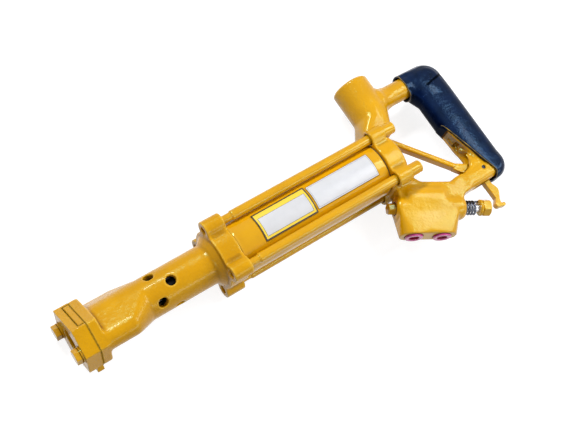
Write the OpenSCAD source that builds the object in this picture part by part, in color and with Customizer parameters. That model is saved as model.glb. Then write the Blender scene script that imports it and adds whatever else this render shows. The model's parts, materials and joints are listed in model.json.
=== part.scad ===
// Hydraulic chipping hammer, lying on its side.
// X runs along the tool's axis from the chisel end to the handle, Y towards the accumulator and Z up.
// The origin is the mouth of the chisel bushing, on the axis where the foot meets the retainer plate.

/* [Nose] */
// Half width of the nose across its long sides
nose_half_width = 29; // [27:0.5:32]
// Half length of the nose's long sides
nose_shoulder = 28; // [26:0.5:31]
// Distance from the axis to the nose's two points
nose_point = 44; // [42:0.5:47]
// Angle of the latch direction above the Y axis
nose_roll = 45; // [40:1:50]
// Thickness of the retainer plate
plate_t = 18; // [16:0.5:24]
// Radius of the opening in the retainer plate
plate_bore_r = 16; // [15:0.5:18]
// Thickness of the foot's front flange
front_flange_t = 12; // [9:0.5:16]
// Distance of each nose bolt from the axis
nose_bolt_offset = 31; // [30.5:0.5:32]
// Thread radius of the nose bolts
nose_bolt_r = 5; // [4:0.5:5]
// Hex head of the nose bolts, across flats
nose_bolt_flats = 16; // [15:0.5:17]
// Height of the nose bolt heads
nose_bolt_head_h = 7; // [5:0.5:9]
// Depth of the nose bolts in the foot
nose_bolt_depth = 30; // [20:1:34]
// Thickness of the nose washers
washer_t = 2; // [1:0.5:3]

/* [Latch bar] */
// Thickness of the latch bar
latch_t = 8; // [6:0.5:9]
// Width of the latch bar
latch_w = 48; // [42:1:49]
// Travel of the latch bar from locked to open
latch_travel = 12; // [10:0.5:13]
// Radius of the hole that the chisel's shank stands in when locked
latch_narrow_r = 9.4; // [9.2:0.1:10]
// Radius of the hole that lets the chisel's collar pass
latch_wide_r = 13; // [12:0.5:13.5]
// Length of the latch bar's tab beyond the nose
latch_tab = 11; // [6:1:14]
// Width of the tab where it meets the latch bar
tab_w = 14; // [10:0.5:18]
// Bevel on the tab's corners
tab_bevel = 4; // [2:0.5:4.5]

/* [Chisel bushing] */
// Bore radius for a 17.3 mm round shank
shank_r = 8.75; // [8.6:0.05:9]
// Outer radius of the bushing
bushing_r = 15; // [13:0.5:16]
// Radius of the bushing's collar
bushing_collar_r = 18; // [17:0.5:19]
// Thickness of the bushing's collar
bushing_collar_t = 5; // [3:0.5:8]
// Length of the bushing
bushing_len = 66; // [50:1:72]

/* [Foot] */
// Length of the foot from its front face to the cylinder
foot_len = 193; // [189:1:205]
// Outer radius of the foot's tube
tube_r = 25.1; // [24.5:0.1:26]
// Radius of the foot's lugs round the nose bolts
lug_r = 14.5; // [13:0.5:15]
// Distance of the lugs' centres from the axis
lug_offset = 28; // [26:0.5:29]
// Where the lugs' full section ends
lug_end = 49; // [44:1:54]
// Where the lugs have run out into the tube
taper_end = 73; // [68:1:78]
// Radius of the hollow behind the bushing
hollow_r = 15.5; // [14:0.5:17]
// Length of the hollow behind the bushing
hollow_len = 62; // [58:1:66]
// Radius of the vent holes
vent_r = 6.2; // [5:0.1:7]
// Distance of the front ring of vent holes
vent_ring_1 = 88.3; // [86:0.1:92]
// Distance of the rear ring of vent holes
vent_ring_2 = 107.4; // [105:0.1:112]
// Thickness of the foot's rear flange
rear_flange_t = 25; // [22:0.5:30]
// Length of the cone between tube and rear flange
flange_cone = 9; // [6:0.5:14]
// How far the rear flange stands out from the cylinder between its lobes
flange_step = 2.5; // [1:0.5:5]

/* [Cylinder] */
// Length of the cylinder tube
cylinder_len = 216; // [212:1:228]
// Outer radius of the cylinder tube
cylinder_r = 35; // [33:0.25:35.5]
// Bore radius of the cylinder tube
bore_r = 27; // [26:0.25:28]
// Chamfer on the cylinder tube's ends
cylinder_chamfer = 1; // [0.5:0.25:2]
// Thickness of the gasket behind the cylinder
gasket_t = 1; // [0.6:0.1:2]
// Length of the foot's spigot in the cylinder
spigot_len = 10; // [8:0.5:14]

/* [Tie rods] */
// Gap between the cylinder tube and the tie rods
rod_gap = 1.22; // [0.8:0.02:2]
// Radius of the lobes round the tie rods
lobe_r = 11; // [10.5:0.25:12]
// Fillet between a lobe and the flange
lobe_fillet = 7; // [4:0.5:9]
// Radius of the tie rods
rod_r = 6.2; // [5.6:0.1:6.6]
// Radius of the tie rods' threaded front ends
rod_thread_r = 5; // [4:0.25:5.25]
// Length of thin rod in front of the shoulder
rod_thin_len = 13; // [8:1:20]
// Length of thread in the foot's flange
rod_thread_len = 20; // [14:1:21]
// Radius of the tie rods' heads
rod_head_r = 8; // [7.8:0.1:8.6]
// Length of the tie rods' heads
rod_head_len = 17.5; // [12:0.5:22]
// Radius of the hex sockets in the tie rods' heads, over the corners
rod_socket_r = 4.6; // [4:0.1:5.2]
// Depth of the hex sockets in the tie rods' heads
rod_socket_depth = 6; // [4:0.5:9]
// Radius of the tie rods' clearance holes
rod_hole_r = 7.2; // [7:0.1:7.5]

/* [Piston] */
// Radius of the piston's front rod
front_rod_r = 10; // [9:0.5:11]
// Radius of the piston's head
piston_r = 14; // [13:0.5:15]
// Radius of the piston's rear rod
rear_rod_r = 9; // [8:0.5:9]
// Distance from the bushing's mouth to the striking face
strike_x = 84; // [80:1:88]
// Outer radius of the guide round the piston's front rod
guide_r = 16.5; // [16:0.25:18]
// Room between the piston's head and the push pins at the end of the return stroke
pin_room = 8; // [4:0.5:12]
// Length of the piston's head
piston_head_len = 48; // [40:1:52]
// Length of the piston's rear rod
rear_rod_len = 60; // [52:1:62]
// Blow stroke of the piston
piston_stroke = 28; // [20:1:30]
// Length of the rear head's spigot in the cylinder
head_spigot_len = 11; // [8:0.5:14]

/* [Automatic valve] */
// Thickness of the front wall of the automatic valve's body
valve_wall = 15; // [12:1:18]
// Radius of the automatic valve
valve_r = 20; // [18:0.5:22]
// Length of the automatic valve
valve_len = 18; // [14:1:20]
// Travel of the automatic valve
valve_travel = 5; // [3:0.5:6]
// Gap in front of the automatic valve
valve_front_gap = 2; // [1:0.5:4]
// Gap behind the automatic valve at the end of its travel
valve_rear_gap = 3; // [1:0.5:5]
// Radius of the push pins
push_pin_r = 1.5; // [1.2:0.1:1.6]
// Distance of the push pins from the axis
push_pin_circle = 11.6; // [10.9:0.1:12.1]
// How far the push pins stand in front of their wall
push_pin_reach = 9; // [6:0.5:11]
// Length of the automatic valve's cap
valve_cap_len = 20; // [16:1:22]

/* [Rear head] */
// Thickness of the rear head at its lobes
head_lobe_t = 21; // [18:0.5:24]
// Thickness of the rear head between its lobes
head_t = 26; // [24.5:0.5:30]
// How far the rear head stands out from the cylinder between its lobes
head_step = 3.5; // [2:0.5:5]

/* [Accumulator] */
// Distance of the accumulator's axis behind the rear head's front face
boss_offset = 38.5; // [36:0.5:42]
// Outer radius of the accumulator boss
boss_r = 25; // [24:0.5:26]
// Height of the accumulator boss above the tool's axis
boss_top = 112; // [108:1:118]
// Half thickness of the neck under the accumulator boss
neck_half = 21.5; // [18:0.5:21.5]
// Radius of the accumulator's chamber
chamber_r = 18; // [16:0.5:19]
// Depth of the accumulator's chamber
chamber_depth = 50; // [46:1:54]
// Radius of the charge valve
charge_r = 5; // [4:0.5:6]
// Depth of the accumulator's cap below the boss's rim
cap_recess = 5; // [4:0.5:7]
// Thickness of the accumulator's cap
cap_t = 10; // [8:0.5:12]
// Wall of the accumulator's bladder
bladder_wall = 2; // [1.5:0.25:3]

/* [Handle] */
// Distance of the handle's middle behind the rear head's front face
grip_offset = 133; // [130:1:140]
// Depth of the grip along the tool
grip_depth = 50; // [46:1:54]
// Thickness of the grip across the tool
grip_thickness = 32; // [30:0.5:36]
// Wall of the grip cover
grip_wall = 4.2; // [3:0.2:5]
// Height of the upper leg's axis
upper_leg_y = 75; // [74:0.5:77]
// Radius of the upper leg
upper_leg_r = 14; // [12:0.5:14.5]
// Radius of the grip cover round the upper leg
grip_collar_r = 18.5; // [17.5:0.25:20]
// Height of the lower leg's middle
lower_leg_y = -74.2; // [-76:0.2:-73]
// Depth of the lower leg in the handle's plane
lower_leg_depth = 24; // [22:0.5:26]
// Thickness of the lower leg across the handle
lower_leg_thickness = 27; // [25:0.5:29]
// Thickness of the handle's core inside the grip
core_thickness = 23; // [20:0.5:24]
// Height of the floor of the pocket beside the grip's cut-away, from the handle's middle plane
pocket_floor = -1.5; // [-3:0.5:4]
// Height where the pocket's floor starts to rise to the lower leg
pocket_rise = -24; // [-30:1:-20]

/* [Valve block] */
// Distance of the return port behind the rear head's front face
block_offset = 41; // [38:0.5:44]
// Height of the spool's axis at the return port
block_y = -83.2; // [-85:0.2:-82]
// Tilt of the spool's axis
block_tilt = 28.5; // [26:0.5:31]
// Distance from the spool's axis to the ports' face
port_face = 37; // [35:0.5:40]
// Distance between the two ports
port_spacing = 37; // [35:0.5:39]
// Half width of the block across the ports
block_half = 14.5; // [14:0.25:15.5]
// Length of the block beyond each port
block_end = 18.5; // [17:0.5:20]
// Radius of the barrel round the spool
barrel_r = 16.5; // [15:0.5:17]
// End of the barrel towards the trigger
barrel_rear = 35.5; // [34:0.5:38]
// Radius of the barrel's rounded end towards the trigger
barrel_end_r = 12.4; // [12:0.2:14]
// Room between the spool and the end plug with the trigger fully squeezed
spool_room = 1; // [0.5:0.5:3]
// Radius of the oil galleries
gallery_r = 3.5; // [2.5:0.5:4]
// Distance of the feed gallery behind the rear head's front face
feed_offset = 14; // [10:0.5:18]
// Distance of the accumulator's gallery behind the rear head's front face
gallery_offset = 9; // [6:0.5:12]
// Half thickness of the web between head, leg and block
web_half = 14; // [12:0.5:15]
// Distance of the web's upper edge from the spool's axis
web_top = 31.8; // [30:0.2:34]
// Length of the flat pad on the web
pad_len = 51; // [44:1:54]
// Width of the flat pad on the web
pad_width = 16; // [12:0.5:18]
// Height of the pad's face above the handle's middle plane
pad_height = 17.8; // [17.2:0.1:18]

/* [Ports] */
// Radius of the wider mouth in front of each port's thread
port_mouth_r = 9.6; // [9.2:0.1:10.4]
// Depth of the wider mouth in front of each port's thread
port_mouth_depth = 10; // [9.5:0.5:12]
// Bore radius of the hydraulic ports
port_r = 8.7; // [8:0.1:9.1]
// Depth of the hydraulic ports
port_depth = 25; // [24:0.5:27]
// Length of a shipping plug in its port
plug_len = 9; // [6:0.5:9.5]
// Radius of a shipping plug's rim
plug_rim_r = 11.4; // [10.8:0.1:12.5]
// Height of a shipping plug's rim
plug_rim_h = 2.6; // [2:0.2:4]
// Radius of the hollow in a shipping plug
plug_hollow_r = 6.4; // [5:0.2:7]

/* [Spool] */
// Radius of the valve spool
spool_r = 8; // [7:0.25:8.5]
// Radius of the spool's stem
stem_r = 5; // [4:0.25:5.5]
// Travel of the spool
spool_travel = 9; // [6:0.5:9.5]
// Depth of the spring's seat in the barrel
spring_seat = 10; // [8:0.5:12]
// Length of the gland behind the spring's seat
gland_len = 12; // [9:0.5:13]
// Radius of the gland
gland_r = 10.6; // [10:0.2:11.5]
// Distance from the barrel's end to the knob
knob_gap = 20; // [19:0.5:21]
// Length of the knob
knob_len = 14.5; // [12:0.5:16]
// Radius of the knob over its corners
knob_r = 11.3; // [10:0.1:12]
// Radius of the plug on the spool's other end
end_plug_r = 6.6; // [6:0.1:8]
// Length of the end plug's thread in the barrel
end_plug_thread = 7; // [5:0.5:8]
// How far the end plug stands out
end_plug_len = 9.5; // [6:0.5:12]

/* [Spring] */
// Wire diameter of the spool's spring
wire_d = 2.6; // [2:0.1:2.8]
// Mean radius of the spring's curls
curl_r = 8.2; // [7.6:0.1:8.8]
// Number of curls
curls = 5; // [3:1:5]

/* [Trigger] */
// Distance of the trigger's pivot behind the rear head's front face
pivot_offset = 123.5; // [122:0.5:126]
// Height of the trigger's pivot
pivot_y = -70; // [-71:0.5:-69]
// Radius of the trigger's pin
pin_r = 2.4; // [2:0.1:3]
// Radius of the trigger's boss round the pin
pivot_boss_r = 8; // [7:0.5:8.5]
// Thickness of the trigger in the leg's slot
blade_t = 9.5; // [8:0.5:10.5]
// Clearance between the slot's walls and the trigger, each side
slot_gap = 0.5; // [0.3:0.1:1]
// Width of the finger bar
bar_width = 13.5; // [11:0.5:15]
// Thickness of the finger bar
bar_thickness = 7; // [6:0.5:9]
// Length of the finger bar
bar_length = 85; // [75:1:88]
// Swing of the trigger
trigger_swing = 19; // [15:0.5:20]
// Distance of the finger bar's root in front of the pivot
bar_root_x = 31.2; // [30:0.2:33]
// Height of the finger bar's root above the pivot
bar_root_y = 23.9; // [23:0.1:25]
// Distance of the trigger's heel in front of the pivot
heel_x = 8.5; // [7.5:0.25:9]
// Depth of the trigger's heel below the pivot
heel_y = 49; // [48:0.25:50]
// Radius of the trigger's heel that meets the knob
heel_r = 4.5; // [3.5:0.25:5]
// Radius of the trigger's curled end
curl_end_r = 2.6; // [2:0.1:2.75]
// Depth of the slot for the blade below the pivot
slot_depth = 30; // [26:1:36]

/* [Seals] */
// Distance of the wiper behind the rod guide's front face
wiper_offset = 4; // [3:0.5:8]
// Length of the wiper
wiper_len = 6; // [4:0.5:8]
// Outer radius of the wiper
wiper_r = 13.5; // [12.5:0.25:15]
// Distance of the rod seal behind the rod guide's front face
rod_seal_offset = 22; // [16:0.5:28]
// Length of the rod seal
rod_seal_len = 8; // [5:0.5:10]
// Outer radius of the rod seal
rod_seal_r = 14; // [13:0.25:15]
// Cross section of the ring on the foot's spigot
body_seal_d = 2.4; // [1.6:0.2:3]
// Cross section of the ring on the accumulator's cap
cap_seal_d = 2.4; // [1.6:0.2:3]
// Cross section of the ring in the spool's gland
gland_seal_d = 2; // [1.5:0.1:2.5]

/* [Label plates] */
// Thickness of the label plates
label_t = 0.5; // [0.4:0.1:1]
// Thickness of the glue under the label plates
glue_t = 0.05; // [0.02:0.01:0.1]
// Distance of the front label plate behind the cylinder's front end
front_label_x = 33; // [28:1:36]
// Length of the front label plate
front_label_len = 74; // [60:1:76]
// Width of the front label plate
front_label_w = 35; // [28:1:38]
// Gap between the two label plates
label_gap = 3; // [2:0.5:6]
// Distance from the rear label plate to the cylinder's rear end
rear_label_gap = 15; // [10:1:20]
// Width of the rear label plate
rear_label_w = 30; // [24:1:36]

/* [Clearances] */
// Radial clearance of a sliding or turning fit
running = 0.05; // [0.02:0.01:0.08]
// Clearance between pieces that only pass each other
passing = 0.3; // [0.2:0.05:0.5]

/* [Hidden] */
$fn = 64;
hull_fn = 32;

yellow = "#E6A50F";
navy = "#1B2A5A";
steel = "#9A9DA1";
dark_steel = "#3A3C40";
crimson = "#C2185B";
seal_black = "#222222";
label_white = "#F2F2EE";

// Sizes round the tool's axis
lobe_distance = cylinder_r + rod_r + rod_gap;
rod_offset = lobe_distance / sqrt(2);
flange_r = cylinder_r + flange_step;
head_r = cylinder_r + head_step;

// Places along the tool's axis
flange_x = foot_len - rear_flange_t;
sleeve_x = foot_len + spigot_len;
head_spigot_x = foot_len + cylinder_len - head_spigot_len;
valve_cap_x = head_spigot_x - valve_cap_len;
valve_start = valve_cap_x - valve_rear_gap - valve_travel - valve_len;
valve_room_x = valve_start - valve_front_gap;
valve_x = valve_room_x - valve_wall;
sleeve_len = valve_x - sleeve_x;
cylinder_end = foot_len + cylinder_len;
head_x = cylinder_end + gasket_t;
head_rear = head_x + head_t;
rod_head_x = head_x + head_lobe_t;
rod_head_end = rod_head_x + rod_head_len;
rod_front_x = foot_len - rod_thread_len;
piston_head_end = valve_x - push_pin_reach - pin_room - piston_stroke;
piston_head_x = piston_head_end - piston_head_len;
piston_end = piston_head_end + rear_rod_len;
body_seal_x = foot_len + spigot_len / 2;
latch_front = -latch_t - passing;
hollow_end = bushing_len + hollow_len;
wiper_x = hollow_end + wiper_offset;
rod_seal_x = hollow_end + rod_seal_offset;

// Places in the handle's plane
boss_x = head_x + boss_offset;
grip_x = head_x + grip_offset;
block_x = head_x + block_offset;
feed_y = block_y + barrel_r - 2.5;
pad_x = 7;
pad_y = 4;
pivot = [head_x + pivot_offset, pivot_y];
leg_top = lower_leg_y + lower_leg_depth / 2;
leg_bottom = lower_leg_y - lower_leg_depth / 2;
leg_end = grip_x + 8;
grip_front = grip_x - grip_depth / 2;
grip_rear = grip_x + grip_depth / 2;
grip_mouth = grip_front - 9;
grip_top_y = upper_leg_y + 17.5;
grip_bottom_y = leg_bottom - grip_wall;
core_front = grip_front + grip_wall;
core_rear = grip_rear - grip_wall - 1.5;
chamber_floor = boss_top - chamber_depth;
bladder_y = chamber_floor + 6;
cap_y = boss_top - cap_recess - cap_t;

// Places along the spool, measured from the return port
block_front = port_spacing + block_end;
gland_rear = barrel_rear - spring_seat;
gland_front = gland_rear - gland_len;
knob_x = barrel_rear + knob_gap;
spool_front = port_spacing + 3;
barrel_front = spool_front + spool_travel + spool_room + end_plug_thread;

// The finger bar runs from its root, measured from the pivot, at this angle to X
bar_root = [-bar_root_x, bar_root_y];
bar_angle = 128.9;
heel = [-heel_x, -heel_y];
curl_end = [-2.4, -heel_y - 3.6];

// The spring between the gland and the knob
wire_sides = 6;
wire_bend = 3;
spring_steps = 8 * curls;
spring_len = knob_x - gland_rear;
spring_round = 2 * PI * curl_r * curls;
spring_slope = atan((spring_len - 2 * wire_d - 2 * wire_bend) / (spring_round - 2 * wire_bend));
bend_round = wire_bend * (1 - sin(spring_slope));
bend_along = wire_d + wire_bend * cos(spring_slope);

rear_label_x = foot_len + front_label_x + front_label_len + label_gap;

// Places children drawn in X and Y at x along the tool, with their X along Y and their Y along Z.
module along_x(x = 0) {
    translate([x, 0, 0]) rotate([90, 0, 90]) children();
}

// Turns a profile of [place along X, radius] points round the X axis.
module turned(profile) {
    rotate([90, 0, 90]) rotate_extrude() polygon([for (p = profile) [p[1], p[0]]]);
}

module rod(x0, x1, r) {
    along_x(x0) cylinder(r = r, h = x1 - x0);
}

module tube(x0, x1, r_out, r_in) {
    turned([[x0, r_in], [x1, r_in], [x1, r_out], [x0, r_out]]);
}

// Puts children drawn with a along X and b along Y into the nose's rolled directions at x.
module nose_at(x) {
    along_x(x) rotate(nose_roll) children();
}

// Puts children into the valve block's directions: X along the spool, Y away from the ports.
module block_frame() {
    translate([block_x, block_y, 0]) rotate([0, 0, -block_tilt]) children();
}

// Puts children drawn upwards into the handle's plane, standing along Y at x and y.
module upright(x, y) {
    translate([x, y, 0]) rotate([-90, 0, 0]) children();
}

// Puts children at each tie rod.
module each_rod() {
    for (y = [-1, 1], z = [-1, 1]) translate([0, y * rod_offset, z * rod_offset]) children();
}

// Puts children at each nose bolt.
module each_nose_bolt() {
    for (s = [-1, 1]) rotate([nose_roll, 0, 0]) translate([0, 0, s * nose_bolt_offset]) children();
}

module nose_outline() {
    polygon([
        [nose_half_width, -nose_shoulder], [nose_half_width, nose_shoulder], [0, nose_point],
        [-nose_half_width, nose_shoulder], [-nose_half_width, -nose_shoulder], [0, -nose_point]
    ]);
}

// A round outline with four lobes and a fillet on both sides of each lobe.
module lobed_outline(r_mid) {
    reach = r_mid + lobe_fillet;
    to_lobe = lobe_r + lobe_fillet;
    turn = acos((reach ^ 2 + lobe_distance ^ 2 - to_lobe ^ 2) / (2 * reach * lobe_distance));
    circle(r_mid);
    for (quarter = [45:90:315]) rotate(quarter) {
        translate([lobe_distance, 0]) circle(lobe_r);
        for (side = [-1, 1]) {
            centre = reach * [cos(turn), side * sin(turn)];
            difference() {
                polygon([[0, 0], [lobe_distance, 0], centre]);
                translate(centre) circle(lobe_fillet);
            }
        }
    }
}

module rounded_square(w, h, r) {
    square([w - 2 * r, h], center = true);
    square([w, h - 2 * r], center = true);
    for (x = [-1, 1], y = [-1, 1]) translate([x * (w / 2 - r), y * (h / 2 - r)]) circle(r);
}

module foot_casting() color(yellow) difference() {
    union() {
        nose_at(0) linear_extrude(front_flange_t) nose_outline();
        nose_at(front_flange_t - 1) hull() {
            for (s = [-1, 1]) translate([0, s * lug_offset])
                cylinder(r = lug_r, h = lug_end + 1 - front_flange_t, $fn = hull_fn);
            cylinder(r = tube_r + 0.4, h = taper_end + 1 - front_flange_t, $fn = hull_fn);
        }
        rod(front_flange_t, flange_x + 1, tube_r);
        turned([
            [flange_x - flange_cone, 0], [flange_x - flange_cone, tube_r - 1], [flange_x, flange_r - 4],
            [flange_x + 1, flange_r - 4], [flange_x + 1, 0]
        ]);
        along_x(flange_x) linear_extrude(rear_flange_t) lobed_outline(flange_r);
        rod(flange_x, sleeve_x, bore_r - running);
    }
    rod(-1, bushing_collar_t, bushing_collar_r);
    rod(-1, bushing_len, bushing_r);
    rod(bushing_len - 1, hollow_end, hollow_r);
    rod(hollow_end, sleeve_x + 1, guide_r);
    body_seal_groove();
    each_nose_bolt() rod(-1, nose_bolt_depth + 2, nose_bolt_r);
    each_rod() rod(flange_x - 30, foot_len + 1, rod_thread_r);
    for (turn = [45:90:315]) vent(vent_ring_1, turn);
    for (turn = [0:90:270]) vent(vent_ring_2, turn);
}

// One vent hole through the foot's wall, turned about the tool's axis from Y towards Z.
module vent(x, turn) {
    translate([x, 0, 0]) rotate([turn, 0, 0]) rotate([-90, 0, 0]) cylinder(r = vent_r, h = tube_r + 5);
}

module body_seal_groove() {
    half = body_seal_d / 2 + running;
    tube(body_seal_x - half, body_seal_x + half, bore_r + 1, bore_r - body_seal_d);
}

module chisel_bushing() color(steel) turned([
    [0, shank_r], [bushing_len, shank_r], [bushing_len, bushing_r], [bushing_collar_t, bushing_r],
    [bushing_collar_t, bushing_collar_r], [0, bushing_collar_r]
]);

module retainer_plate() color(yellow) difference() {
    nose_at(-plate_t) linear_extrude(plate_t) nose_outline();
    rod(-plate_t - 1, 1, plate_bore_r);
    nose_at(latch_front - passing) translate([-2 * nose_half_width, -latch_w / 2 - passing, 0])
        cube([4 * nose_half_width, latch_w + 2 * passing, plate_t]);
    each_nose_bolt() rod(-plate_t - 1, 1, nose_bolt_r + passing);
}

module latch_bar() color(yellow) nose_at(latch_front) difference() {
    union() {
        translate([-nose_half_width, -latch_w / 2, 0]) cube([2 * nose_half_width, latch_w, latch_t]);
        linear_extrude(latch_t) polygon([
            [-nose_half_width, latch_w / 2],
            [-nose_half_width - latch_tab + tab_bevel / 2, latch_w / 2 - tab_bevel / 4],
            [-nose_half_width - latch_tab, latch_w / 2 - tab_bevel],
            [-nose_half_width - latch_tab, latch_w / 2 - tab_w + tab_bevel],
            [-nose_half_width, latch_w / 2 - tab_w]
        ]);
    }
    translate([0, 0, -1]) cylinder(r = latch_narrow_r, h = latch_t + 2);
    translate([-latch_travel, 0, -1]) cylinder(r = latch_wide_r, h = latch_t + 2);
}

module nose_bolts() color(yellow) each_nose_bolt() {
    along_x(-plate_t - washer_t - nose_bolt_head_h) rotate(30)
        cylinder(r = nose_bolt_flats / sqrt(3), h = nose_bolt_head_h, $fn = 6);
    rod(-plate_t - washer_t - 1, nose_bolt_depth, nose_bolt_r);
}

module nose_washers() color(yellow) each_nose_bolt()
    tube(-plate_t - washer_t, -plate_t, nose_bolt_flats / 2 + 1.5, nose_bolt_r + passing);

module tie_rods() color(yellow) each_rod() {
    turned([
        [rod_front_x, 0], [rod_front_x, rod_thread_r - 1], [rod_front_x + 1, rod_thread_r],
        [foot_len + rod_thin_len, rod_thread_r], [foot_len + rod_thin_len + 1, rod_r],
        [rod_head_x + 1, rod_r], [rod_head_x + 1, 0]
    ]);
    difference() {
        turned([
            [rod_head_x, 0], [rod_head_x, rod_head_r], [rod_head_end - 4.5, rod_head_r],
            [rod_head_end - 4, rod_head_r - 0.6], [rod_head_end - 3.5, rod_head_r],
            [rod_head_end - 1.2, rod_head_r], [rod_head_end, rod_head_r - 1.2], [rod_head_end, 0]
        ]);
        along_x(rod_head_end - rod_socket_depth)
            cylinder(r = rod_socket_r, h = rod_socket_depth + 1, $fn = 6);
    }
}

module cylinder_tube() color(yellow) turned([
    [foot_len, bore_r], [cylinder_end, bore_r], [cylinder_end, cylinder_r - cylinder_chamfer],
    [cylinder_end - cylinder_chamfer, cylinder_r], [foot_len + cylinder_chamfer, cylinder_r],
    [foot_len, cylinder_r - cylinder_chamfer]
]);

module ring_seal(x, r, d) {
    along_x(x) rotate_extrude() translate([r, 0]) circle(d / 2);
}

module front_body_seal() color(seal_black) ring_seal(body_seal_x, bore_r - body_seal_d / 2, body_seal_d);

module rear_gasket() color(seal_black) tube(cylinder_end, head_x, cylinder_r - 2 * cylinder_chamfer, bore_r);

module piston() color(steel) turned([
    [strike_x, 0], [strike_x, front_rod_r - 1], [strike_x + 1, front_rod_r], [piston_head_x, front_rod_r],
    [piston_head_x + 2, piston_r], [piston_head_x + piston_head_len / 2 - 4, piston_r],
    [piston_head_x + piston_head_len / 2 - 4, piston_r - 1.5],
    [piston_head_x + piston_head_len / 2 + 4, piston_r - 1.5],
    [piston_head_x + piston_head_len / 2 + 4, piston_r], [piston_head_end, piston_r],
    [piston_head_end, rear_rod_r], [piston_end - 1, rear_rod_r], [piston_end, rear_rod_r - 1], [piston_end, 0]
]);

module rod_guide() color(steel) difference() {
    tube(hollow_end, sleeve_x, guide_r, front_rod_r + running);
    rod(wiper_x, wiper_x + wiper_len, wiper_r);
    rod(rod_seal_x, rod_seal_x + rod_seal_len, rod_seal_r);
}

module wiper_seal() color(seal_black)
    tube(wiper_x, wiper_x + wiper_len, wiper_r, front_rod_r + running);

module rod_seal() color(seal_black)
    tube(rod_seal_x, rod_seal_x + rod_seal_len, rod_seal_r, front_rod_r + running);

module flow_sleeve() color(steel) difference() {
    tube(sleeve_x, valve_x, bore_r - running, piston_r + running);
    for (x = [sleeve_x + sleeve_len / 4, sleeve_x + sleeve_len * 3 / 4]) {
        tube(x - 6, x + 6, bore_r + 1, bore_r - 3);
        for (turn = [0:90:270]) translate([x, 0, 0]) rotate([turn, 0, 0]) cylinder(r = 3.5, h = bore_r + 1);
    }
}

module valve_body() color(steel) difference() {
    turned([
        [valve_x, rear_rod_r + running], [valve_room_x, rear_rod_r + running],
        [valve_room_x, valve_r + running], [valve_cap_x, valve_r + running],
        [valve_cap_x, bore_r - running], [valve_x, bore_r - running]
    ]);
    each_push_pin() rod(valve_x - 1, valve_room_x + 1, push_pin_r + running);
}

module each_push_pin() {
    for (turn = [0:90:270]) rotate([turn, 0, 0]) translate([0, push_pin_circle, 0]) children();
}

module automatic_valve() color(steel) difference() {
    tube(valve_start, valve_start + valve_len, valve_r, rear_rod_r + 1);
    tube(valve_start + valve_len / 2 - 3, valve_start + valve_len / 2 + 3, valve_r + 1, valve_r - 2);
}

module push_pins() color(steel) each_push_pin() rod(valve_x - push_pin_reach, valve_start, push_pin_r);

module valve_cap() color(steel) tube(valve_cap_x, head_spigot_x, bore_r - running, rear_rod_r + running);

// The web between the rear head, the lower leg and the valve block, in the handle's plane.
module web_outline() {
    polygon([
        [head_x + 1, -15], [head_x + 1, -cylinder_r - 3.5], [head_x, -cylinder_r - 6.2],
        [block_x - 45, block_y - 5], [block_x - 10, block_y - 22],
        [block_x + 20, block_y - 14], [block_x + 40, leg_bottom], [block_x + 52, leg_bottom],
        [block_x + 52, leg_top], [block_x + 38, leg_top], in_block(21, web_top), in_block(-22, web_top),
        [head_rear + 6, -cylinder_r - 1], [head_rear - 1, -15]
    ]);
}

// A place along the spool and away from the ports, in the handle's plane.
function in_block(u, v) = [
    block_x + u * cos(block_tilt) + v * sin(block_tilt),
    block_y - u * sin(block_tilt) + v * cos(block_tilt)
];

// The handle's core, from the upper leg's height down to the lower leg, in the handle's plane.
module core_outline() {
    polygon([
        [core_front, upper_leg_y - 4], [core_front, 4], [core_front + 1.5, -25], [core_front + 3, -50],
        [core_front - 3, leg_top + 3], [core_front - 12, leg_top], [core_front - 12, leg_top - 8],
        [core_rear - 8, leg_top - 8], [core_rear, leg_top + 6], [core_rear, upper_leg_y - 22],
        [core_rear - 3, upper_leg_y - 10], [core_rear - 11, upper_leg_y],
        [core_rear - 19, upper_leg_y + 5], [core_front + 6, upper_leg_y + 7]
    ]);
}

// The room that the trigger's blade swings in, measured from the pivot.
module trigger_slot_outline() {
    front = pivot_boss_r + slot_gap + slot_depth * tan(trigger_swing);
    top = 2 * bar_root_y;
    translate(pivot) polygon([
        [0.7 - bar_root_x, 1.25 * pivot_boss_r], [-0.5 * bar_root_x, top], [-5, top], [-3, top - 2],
        [-pivot_boss_r, 0.75 * top],
        [1.5 * pivot_boss_r, 1.25 * pivot_boss_r], [1.5 * pivot_boss_r, -slot_depth], [-front, -slot_depth]
    ]);
}

// The pocket beside the grip's cut-away. Its floor rises to the lower leg.
module handle_pocket() intersection() {
    translate([-0.7, -1, pocket_floor]) linear_extrude(grip_thickness) grip_cutaway_outline();
    along_x(grip_front - 20) linear_extrude(2 * grip_depth) polygon([
        [5, pocket_floor], [pocket_rise, pocket_floor], [leg_top + 4, core_thickness / 2 + 0.5],
        [leg_top + 4, grip_thickness], [5, grip_thickness]
    ]);
}

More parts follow.
